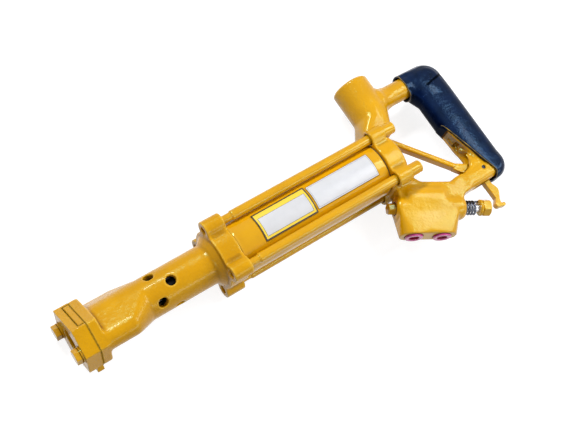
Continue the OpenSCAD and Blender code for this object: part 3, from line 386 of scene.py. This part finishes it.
def linked(name, mesh, material):
    """A piece of one material, placed in the scene."""
    piece = bpy.data.objects.new(name, mesh)
    scene.collection.objects.link(piece)
    mesh.materials.clear()
    mesh.materials.append(material)
    return piece


def points_of(mesh):
    flat = np.empty(len(mesh.vertices) * 3)
    mesh.vertices.foreach_get("co", flat)
    return flat.reshape(-1, 3)


def normals_of(mesh):
    flat = np.empty(len(mesh.vertices) * 3)
    mesh.vertices.foreach_get("normal", flat)
    return flat.reshape(-1, 3)


def edges_of(mesh):
    """The mesh's edges as pairs of point numbers, and how many edges meet at each point."""
    edges = np.empty(len(mesh.edges) * 2, np.int64)
    mesh.edges.foreach_get("vertices", edges)
    count = np.maximum(np.bincount(edges, minlength=len(mesh.vertices)), 1)
    return edges.reshape(-1, 2), count


def place_points(mesh, points):
    mesh.vertices.foreach_set("co", points.ravel())
    mesh.update()


def neighbour_mean(values, edges, count):
    """For each point the mean of the values at the points that its edges lead to."""
    total = np.empty_like(values)
    for axis in range(values.shape[1]):
        total[:, axis] = (np.bincount(edges[:, 0], values[edges[:, 1], axis], len(values))
                          + np.bincount(edges[:, 1], values[edges[:, 0], axis], len(values)))
    return total / count[:, None]


def eased(piece, rounds, share):
    """Smooths the mesh, point by point as far as share says, and returns the piece."""
    mesh = piece.data
    points = points_of(mesh)
    edges, count = edges_of(mesh)
    amount = np.asarray(share(points / MM), float)[:, None] * 0.5
    for _ in range(rounds):
        points += (neighbour_mean(points, edges, count) - points) * amount
    place_points(mesh, points)
    return piece


def mark_hollows(piece, darkening=None, rounds=10, depth=0.00045):
    """Stores how hollow each point lies, from -1 on a sharp edge to 1 in a deep corner or a place of painted
    shade.
    """
    mesh = piece.data
    points = points_of(mesh)
    edges, count = edges_of(mesh)
    soft = points.copy()
    for _ in range(rounds):
        soft += (neighbour_mean(soft, edges, count) - soft) * 0.7
    rise = ((soft - points) * normals_of(mesh)).sum(1)[:, None]
    for _ in range(3):
        rise = neighbour_mean(rise, edges, count)
    value = np.clip(rise[:, 0] / depth, -1, 1)
    # darkening adds places of painted shade, such as the pocket and the crease.
    if darkening:
        value = np.maximum(value, darkening(points / MM))
    store_value(mesh, "hollow", value)
    return piece


def surface_of(names):
    """A search tree over the surfaces of CAD nodes."""
    spots, faces = [], []
    for name in names:
        mesh = nodes[name].data
        first = len(spots)
        spots += [nodes[name].matrix_world @ v.co for v in mesh.vertices]
        faces += [[first + k for k in face.vertices] for face in mesh.polygons]
    return BVHTree.FromPolygons(spots, faces)


def store_value(mesh, name, values):
    store = mesh.attributes.new(name, "FLOAT", "POINT")
    store.data.foreach_set("value", np.asarray(values, np.float32))


def mark_seams(piece, names, reach=1.6):
    """Stores how close each point lies to the pieces that meet this one, for the soiling and painted shade in
    the seams.
    """
    points = points_of(piece.data)
    value = np.zeros(len(points))
    for name in names:
        low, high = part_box(name)
        low, high = np.array(low) - reach * MM, np.array(high) + reach * MM
        close = np.flatnonzero(((points > low) & (points < high)).all(1))
        tree = surface_of([name])
        for k in close:
            gap = tree.find_nearest(points[k], reach * MM)[3]
            if gap is not None:
                value[k] = max(value[k], 1 - gap / (reach * MM))
    store_value(piece.data, "seam", value)
    return piece


def mark_bare_and_shaded(piece, test):
    """Stores where a piece shows its bare inside, painted near black as shade, as test says for points in
    millimetres.
    """
    store_value(piece.data, "inside", test(points_of(piece.data) / MM))
    return piece


def remeshed(source, name, voxel, material):
    """A new even mesh over a mesh's surface, with shared points, ready to be eased."""
    mesh = source.copy()
    work = bmesh.new()
    work.from_mesh(mesh)
    bmesh.ops.remove_doubles(work, verts=work.verts, dist=2e-6)
    work.to_mesh(mesh)
    work.free()
    piece = linked(name, mesh, material)
    remesh = piece.modifiers.new("even", "REMESH")
    remesh.mode = "VOXEL"
    remesh.voxel_size = voxel * MM
    remesh.use_smooth_shade = True
    applied(piece)
    piece.data.materials.clear()
    piece.data.materials.append(material)
    return piece


def shade(piece):
    for face in piece.data.polygons:
        face.use_smooth = True
    return piece


def even(points):
    """Eases every point alike."""
    return np.ones(len(points))


def dress(node, voxel, rounds, material, share=even, again=(), darkening=None, seams=(), inside=None, reach=1.6):
    """A soft-edged copy of a CAD node that stands for it."""
    piece = remeshed(nodes[node].data, node + "_skin", voxel, material)
    eased(piece, rounds, share)
    for more, where in again:
        eased(piece, more, where)
    mark_hollows(piece, darkening)
    if seams:
        mark_seams(piece, seams, reach)
    if inside:
        mark_bare_and_shaded(piece, inside)
    shade(piece)
    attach(piece, nodes[node]["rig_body"])
    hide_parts(node)
    return piece


# Castings and painted pieces


def near(points, low, high, blur):
    """1 inside a box given in millimetres, falling to 0 over blur outside it."""
    gap = np.maximum(np.maximum(np.array(low) - points, points - np.array(high)), 0)
    return np.clip(1 - np.linalg.norm(gap, axis=1) / blur, 0, 1)


def foot_blend(points):
    """Where the foot casting flows softly: its lugs behind the nose, and the root of its flange."""
    return np.maximum(near(points, (14, -60, -60), (76, 60, 60), 6),
                      near(points, (156, -26, -26), (170, 26, 26), 4)) * 0.9


def handle_blend(points):
    """Where the handle casting flows softly: web and valve block, accumulator neck, lower leg's root."""
    web = near(points, (414, -110, -20), (505, -34, 20), 8)
    neck = near(points, (416, 22, -30), (505, 84, 30), 8)
    root = near(points, (500, -64, -14), (560, -40, 14), 6)
    return np.clip(np.maximum(np.maximum(web, neck), root), 0, 1)


def pad_blend(points):
    """The pad on the valve block, which fades into the face round it."""
    return near(np.stack(block_places(points), 1), (-46, -2, 9), (12, 24, 19), 4)


def within(points, centre, axis, radius):
    """1 for points closer than radius to a line, in millimetres."""
    off = points - np.array(centre)
    along = (off @ np.array(axis))[:, None] * np.array(axis)
    return (np.linalg.norm(off - along, axis=1) < radius).astype(float)


def foot_bare_and_shaded(points):
    """The foot's bore, and the vents' walls where they are deeper than the paint reaches: bare, and painted
    near black as shade.
    """
    x, y, z = points.T
    return np.clip((20.5 - np.hypot(y, z)) / 3, 0, 1) * (x > 0.6) * (x < 165)


def block_places(points):
    """Places along the spool, away from the ports and up."""
    off = points - np.array(BLOCK) / MM
    return off @ np.array(ALONG), off @ np.array(AWAY), off[:, 2]


ROD_OFFSET = 30.0


def handle_bare_and_shaded(points):
    """The unpainted bores: gland seat, spool bore, ports, pin hole, trigger slot and the tie rods' holes,
    painted near black as shade.
    """
    u, v, w = block_places(points)
    value = (np.hypot(v, w) < 11.2) * (u > 26) * (u < 35)
    value = np.maximum(value, (np.hypot(v, w) < 8.4) * (u < 30))
    for port in PORTS.values():
        value = np.maximum(value, (np.hypot(u - port, w) < 10) * (v < -20) * (v > PORT_FACE + 0.4))
    value = np.maximum(value, within(points, (533.5, -70, 0), (0, 0, 1), 2.7) * (abs(points[:, 2]) < 12.8))
    x, y, z = points.T
    value = np.maximum(value, (abs(z) < 5.15) * (x > 506) * (x < 545.2) * (y > -85.6) * (y < -54) * 0.8)
    for side in (-1, 1):
        for up_side in (-1, 1):
            near_rod = np.hypot(y - side * ROD_OFFSET, z - up_side * ROD_OFFSET) < 7.5
            value = np.maximum(value, near_rod * (x > 410.4) * (x < 430.6))
    return value


def pocket_painted_shadow(points):
    """The painted shadow that browns the enamel in the pocket beside the grip's cut-away."""
    x, y, z = points.T
    deep = np.clip((11.0 - z) / 2.5, 0, 1) * np.clip((z + 6.5) / 1.0, 0, 1)
    return deep * (x > 519.5) * (x < 548) * (y > -50) * (y < 3.5) * np.clip((y + 50) / 22, 0, 1) * 0.62


dress("foot_casting", 0.9, 3, SATIN, again=[(26, foot_blend)], inside=foot_bare_and_shaded,
      seams=["cylinder_tube", "tie_rods", "retainer_plate", "latch_bar"])
dress("handle_casting", 0.8, 3, CAST, again=[(40, handle_blend), (70, pad_blend)], darkening=pocket_painted_shadow,
      inside=handle_bare_and_shaded,
      seams=["cylinder_tube", "tie_rods", "accumulator_cap", "spool_end_plug", "pressure_plug", "return_plug",
             "handle_grip", "trigger"])
dress("retainer_plate", 0.6, 2, SATIN, seams=["latch_bar", "foot_casting", "nose_bolts", "nose_washers"],
      reach=2.0)
dress("latch_bar", 0.5, 2, SATIN, seams=["retainer_plate", "foot_casting"], reach=2.0)
dress("nose_bolts", 0.4, 3, SMOOTH, seams=["nose_washers", "retainer_plate"])
dress("trigger", 0.5, 6, CAST, seams=["handle_casting"])
dress("spool_knob", 0.35, 5, SMOOTH)
dress("spool_end_plug", 0.4, 4, SMOOTH, seams=["handle_casting"])
dress("tie_rods", 0.7, 3, SMOOTH, seams=["foot_casting", "handle_casting", "cylinder_tube"])
dress("cylinder_tube", 1.0, 6, SMOOTH,
      seams=["foot_casting", "handle_casting", "tie_rods", "rear_label_plate", "front_label_plate"])

# Plugs, spring


def skinned(name, work, rings, material):
    """A closed piece over rings of points: each ring is joined to the next, and both ends are capped."""
    sides = len(rings[0])
    for low, high in zip(rings, rings[1:]):
        for k in range(sides):
            work.faces.new([low[k], low[(k + 1) % sides], high[(k + 1) % sides], high[k]])
    work.faces.new(list(reversed(rings[0])))
    work.faces.new(rings[-1])
    bmesh.ops.recalc_face_normals(work, faces=work.faces)
    mesh = bpy.data.meshes.new(name)
    work.to_mesh(mesh)
    work.free()
    return shade(linked(name, mesh, material))


def turned(name, profile, origin, axis, material, sides=64):
    """A piece turned about an axis from (radius, place) points in millimetres."""
    turn = Vector((0, 0, 1)).rotation_difference(axis).to_matrix().to_4x4()
    turn.translation = origin
    work = bmesh.new()
    rings = []
    for radius, place in profile:
        ring = []
        for k in range(sides):
            a = 2 * math.pi * k / sides
            point = Vector((radius * math.cos(a), radius * math.sin(a), place)) * MM
            ring.append(work.verts.new(turn @ point))
        rings.append(ring)
    return skinned(name, work, rings, material)


def arc(centre, radius, start, end, steps=5):
    """Points of a round corner, from one angle to another in degrees."""
    return [(centre[0] + radius * math.cos(math.radians(start + (end - start) * k / steps)),
             centre[1] + radius * math.sin(math.radians(start + (end - start) * k / steps)))
            for k in range(steps + 1)]


for node, port in PORTS.items():
    outline = [(0.05, -8.9), (9.3, -8.9), (9.3, 0.05), (11.0, 0.05)]
    outline += arc((10.9, 0.6), 0.5, -60, 30) + arc((10.2, 1.4), 1.15, 20, 90)
    outline += arc((7.6, 1.4), 1.15, 90, 160) + [(6.4, 0.4), (6.2, -6.2)]
    outline += arc((5.2, -5.8), 1.0, 0, -90)[1:] + [(0.05, -6.8)]
    face_centre = block_point(port, PORT_FACE)
    plug = turned(node + "_cup", outline, face_centre, -AWAY, RIM)
    plug.data.materials.append(CUP)
    # Faces in the cup's recess take the darker plastic: painted shade.
    for face in plug.data.polygons:
        off = face.center - face_centre
        depth = off.dot(-AWAY)
        radius = (off - depth * -AWAY).length
        face.material_index = 1 if radius < 6.9 * MM and depth < 1.9 * MM else 0
    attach(plug, node)
    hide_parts(node)


SPRING_START = 25.5
SPRING_LENGTH = 30.0
WIRE_SIDES = 14


def spring_piece():
    """The spring's wire, wound between gland and knob, with straight ends."""
    wire, mean, curls, start, length, bend = 2.6, 8.2, 5, SPRING_START, SPRING_LENGTH, 3.0
    round_way = 2 * math.pi * mean * curls
    slope = math.atan((length - 2 * wire - 2 * bend) / (round_way - 2 * bend))
    bend_round, bend_along = bend * (1 - math.sin(slope)), wire + bend * math.cos(slope)
    path = [(0, 0, math.pi / 2), (0, wire, math.pi / 2)]
    for k in range(1, 5):
        a = (math.pi / 2 - slope) * k / 5
        path.append((bend * (1 - math.cos(a)), wire + bend * math.sin(a), math.pi / 2 - a))
    steps = 32 * curls
    first = path[1:]
    for k in range(steps + 1):
        path.append((bend_round + (round_way - 2 * bend_round) * k / steps,
                     bend_along + (length - 2 * bend_along) * k / steps, slope))
    path += [(round_way - p[0], length - p[1], p[2]) for p in reversed(first)]
    path.append((round_way, length, math.pi / 2))
    work = bmesh.new()
    rings = []
    for way, place, lean in path:
        a = way / mean
        out = AWAY * math.cos(a) + Vector((0, 0, 1)) * math.sin(a)
        side = -AWAY * math.sin(a) + Vector((0, 0, 1)) * math.cos(a)
        ahead = ALONG * math.sin(lean) + side * math.cos(lean)
        across = ahead.cross(out)
        centre = block_point(start + place, 0) + out * mean * MM
        rings.append([work.verts.new(centre + (out * math.cos(b) + across * math.sin(b)) * wire / 2 * MM)
                      for b in [2 * math.pi * k / WIRE_SIDES for k in range(WIRE_SIDES)]])
    return skinned("return_spring", work, rings, SPRING)


spring = spring_piece()
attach(spring, "housing")
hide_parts("spool_spring")
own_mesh(spring)

# Grip cover

CUT = [(519.3, 4.5), (521.2, 0.5), (524.2, -10), (530.6, -33), (537.5, -57.5), (543, -75), (544.4, -82),
       (542.2, -87.5), (539, -92)]
CREASE = [(569, 66.2), (559.5, 64.6), (549.5, 62.6), (541, 61.3), (535.5, 60.4)]


def smooth_way(points, steps=6):
    """A curve through points, with steps places on each stretch."""
    way = []
    last = len(points) - 1
    for k in range(last):
        a, b, c, d = (np.array(points[min(max(j, 0), last)], float) for j in (k - 1, k, k + 1, k + 2))
        for s in range(steps):
            t = s / steps
            way.append(0.5 * (2 * b + (c - a) * t + (2 * a - 5 * b + 4 * c - d) * t * t
                              + (3 * b - a - 3 * c + d) * t ** 3))
    way.append(np.array(points[-1], float))
    return way


def crease_gap(points):
    """How far each point of the grip's upper side lies from the crease at its corner, seen from above."""
    x, y, z = points.T
    gap = np.full(len(points), 99.0)
    for spot in smooth_way(CREASE, 12):
        gap = np.minimum(gap, np.hypot(x - spot[0], y - spot[1]))
    return gap + np.clip((5 - z) / 4, 0, 1) * 9


def crease(piece, width, depth):
    """Presses the crease at the grip's corner into it as a soft groove, sizes in millimetres."""
    mesh = piece.data
    points = points_of(mesh)
    fall = np.exp(-(crease_gap(points / MM) / width) ** 2)
    points -= normals_of(mesh) * (fall * depth * MM)[:, None]
    place_points(mesh, points)
    return piece


def crease_painted_shade(points):
    """How dark the painted shade along the crease at the grip's corner is, from 0 off it to 1 along it."""
    return np.clip(1.8 - crease_gap(points), -1, 1)


def crown(piece, start, drop):
    """Rounds the grip's flat sides above the height start: they fall off by drop towards the edges."""
    mesh = piece.data
    points = points_of(mesh)
    side = np.clip(np.abs(points[:, 0] / MM - GRIP_MIDDLE_X) / GRIP_HALF_WIDTH, 0, 1)
    height = np.abs(points[:, 2] / MM)
    outer = np.clip((height - start) / (GRIP_HALF_HEIGHT - start), 0, 1)
    points[:, 2] -= np.sign(points[:, 2]) * outer * side ** 2 * drop * MM
    place_points(mesh, points)
    return piece


grip = crown(remeshed(nodes["handle_grip"].data, "grip_cover", 0.8, GRIP), start=11.8, drop=3.2)
eased(grip, 12, even)
crease(grip, width=1.1, depth=0.35)
mark_hollows(grip, crease_painted_shade)
grip_points = points_of(grip.data) / MM
x, y, _ = grip_points.T
finger_side = np.clip((527 - x) / 5, 0, 1) * np.clip((66 - y) / 8, 0, 1)
store_value(grip.data, "rubbed", np.maximum(finger_side, np.clip(2.2 - crease_gap(grip_points), 0, 1)))
shade(grip)
surface = BVHTree.FromObject(grip, bpy.context.evaluated_depsgraph_get())
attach(grip, "housing")
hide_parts("handle_grip")


def line_piece(name, runs, thick, material, closed=False):
    """Thin lines laid along runs of points, as one curve piece."""
    curve = bpy.data.curves.new(name, "CURVE")
    curve.dimensions = "3D"
    curve.bevel_depth = thick * MM
    curve.bevel_resolution = 2
    for run in runs:
        spline = curve.splines.new("POLY")
        spline.points.add(len(run) - 1)
        spline.use_cyclic_u = closed
        for spot, point in zip(spline.points, run):
            spot.co = (*point, 1)
    piece = bpy.data.objects.new(name, curve)
    scene.collection.objects.link(piece)
    curve.materials.append(material)
    return piece


RIM_INSET = 0.9
SUNK = 0.2
cut_line = smooth_way(CUT)
rims = []
for sign in (1, -1):
    run = []
    for (x, y), (x_next, y_next) in zip(cut_line, cut_line[1:]):
        step = np.hypot(x_next - x, y_next - y)
        x, y = x + (y - y_next) / step * RIM_INSET, y + (x_next - x) / step * RIM_INSET
        hit = surface.ray_cast(Vector((x * MM, y * MM, sign * 0.05)), Vector((0, 0, -sign)))[0]
        if hit is not None:
            run.append(hit - Vector((0, 0, sign * SUNK * MM)))
    rims.append(run)
rim_line = line_piece("grip_rim_line", rims, 0.55, RIM_PAINT)
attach(rim_line, "housing")
mouth_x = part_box("handle_grip")[0].x + 0.0012
mouth = []
for k in range(64):
    out = Vector((0, math.cos(2 * math.pi * k / 64), math.sin(2 * math.pi * k / 64)))
    mouth.append(surface.ray_cast(Vector((mouth_x, NECK_Y, 0)) + out * 0.04, -out)[0] - out * SUNK * MM)
mouth_line = line_piece("grip_mouth_line", [mouth], 0.6, RIM_PAINT, True)
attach(mouth_line, "housing")

# Floor, light, camera

FLOOR_REACH = 6.0
FLOOR_GLOW = 0.86
WORLD_LIGHT = 0.07

floor_mesh = bpy.data.meshes.new("floor")
floor_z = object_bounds()[0][2] - 0.0002
corners = ((-1, -1), (1, -1), (1, 1), (-1, 1))
floor_mesh.from_pydata([(x * FLOOR_REACH, y * FLOOR_REACH, floor_z) for x, y in corners], [], [(0, 1, 2, 3)])
t = Tree("floor")
t.shader.inputs["Base Color"].default_value = (0.30, 0.30, 0.31, 1)
t.shader.inputs["Roughness"].default_value = 0.9
t.shader.inputs["Specular IOR Level"].default_value = 0.1
rays = t.add("ShaderNodeLightPath")
seen = t.maths("MAXIMUM", rays.outputs["Is Camera Ray"], rays.outputs["Is Transmission Ray"])
seen = t.maths("MAXIMUM", seen, rays.outputs["Is Glossy Ray"])
t.shader.inputs["Emission Color"].default_value = (1, 1, 1, 1)
t.join(t.maths("MULTIPLY", seen, FLOOR_GLOW), t.shader.inputs["Emission Strength"])
floor = linked("floor", floor_mesh, t.material)

world = bpy.data.worlds.new("studio")
scene.world = world
world.use_nodes = True
background = world.node_tree.nodes["Background"]
background.inputs["Color"].default_value = (1, 1, 1, 1)
rays = world.node_tree.nodes.new("ShaderNodeLightPath")
amount = world.node_tree.nodes.new("ShaderNodeMapRange")
amount.inputs["To Min"].default_value = WORLD_LIGHT
amount.inputs["To Max"].default_value = 1.0
seen = rays.outputs["Is Camera Ray"]
for kind in ("Is Glossy Ray", "Is Transmission Ray"):
    either = world.node_tree.nodes.new("ShaderNodeMath")
    either.operation = "MAXIMUM"
    world.node_tree.links.new(seen, either.inputs[0])
    world.node_tree.links.new(rays.outputs[kind], either.inputs[1])
    seen = either.outputs[0]
world.node_tree.links.new(seen, amount.inputs["Value"])
world.node_tree.links.new(amount.outputs["Result"], background.inputs["Strength"])

TARGET = Vector((0.27, 0.0, 0.0))


def soft_lamp(name, place, size, power):
    """A flat lamp that faces the middle of the object."""
    lamp = bpy.data.lights.new(name, "AREA")
    lamp.shape = "RECTANGLE"
    lamp.size, lamp.size_y = size
    lamp.energy = power
    holder = bpy.data.objects.new(name, lamp)
    holder.location = place
    holder.rotation_euler = (TARGET - Vector(place)).to_track_quat("-Z", "Y").to_euler()
    scene.collection.objects.link(holder)
    return holder


soft_lamp("key", (0.15, 1.0, 1.2), (0.7, 0.2), 20.5)
soft_lamp("fill", (-0.95, -0.55, 0.9), (0.42, 0.42), 4.4)
soft_lamp("low", (0.74, -1.04, 0.585), (1.2, 0.24), 5.6)
soft_lamp("glint", (1.10, 0.10, 1.19), (0.24, 0.20), 1.9)
soft_lamp("side", (1.25, -0.25, 0.9), (0.4, 0.9), 8.5)

CAMERA_PLACE = Vector((-0.1541, -0.2238, 1.071))
CAMERA_RIGHT = Vector((0.810417, -0.547923, 0.207377)).normalized()
CAMERA_UP = Vector((0.460246, 0.814458, 0.353316)).normalized()

camera_data = bpy.data.cameras.new("camera")
camera_data.sensor_width = 36
camera_data.lens = 61.595
camera_data.clip_start = 0.01
camera_data.clip_end = 60
camera = bpy.data.objects.new("camera", camera_data)
pose = Matrix((CAMERA_RIGHT, CAMERA_UP, CAMERA_RIGHT.cross(CAMERA_UP))).transposed().to_4x4()
pose.translation = CAMERA_PLACE
camera.matrix_world = pose
scene.collection.objects.link(camera)
scene.camera = camera
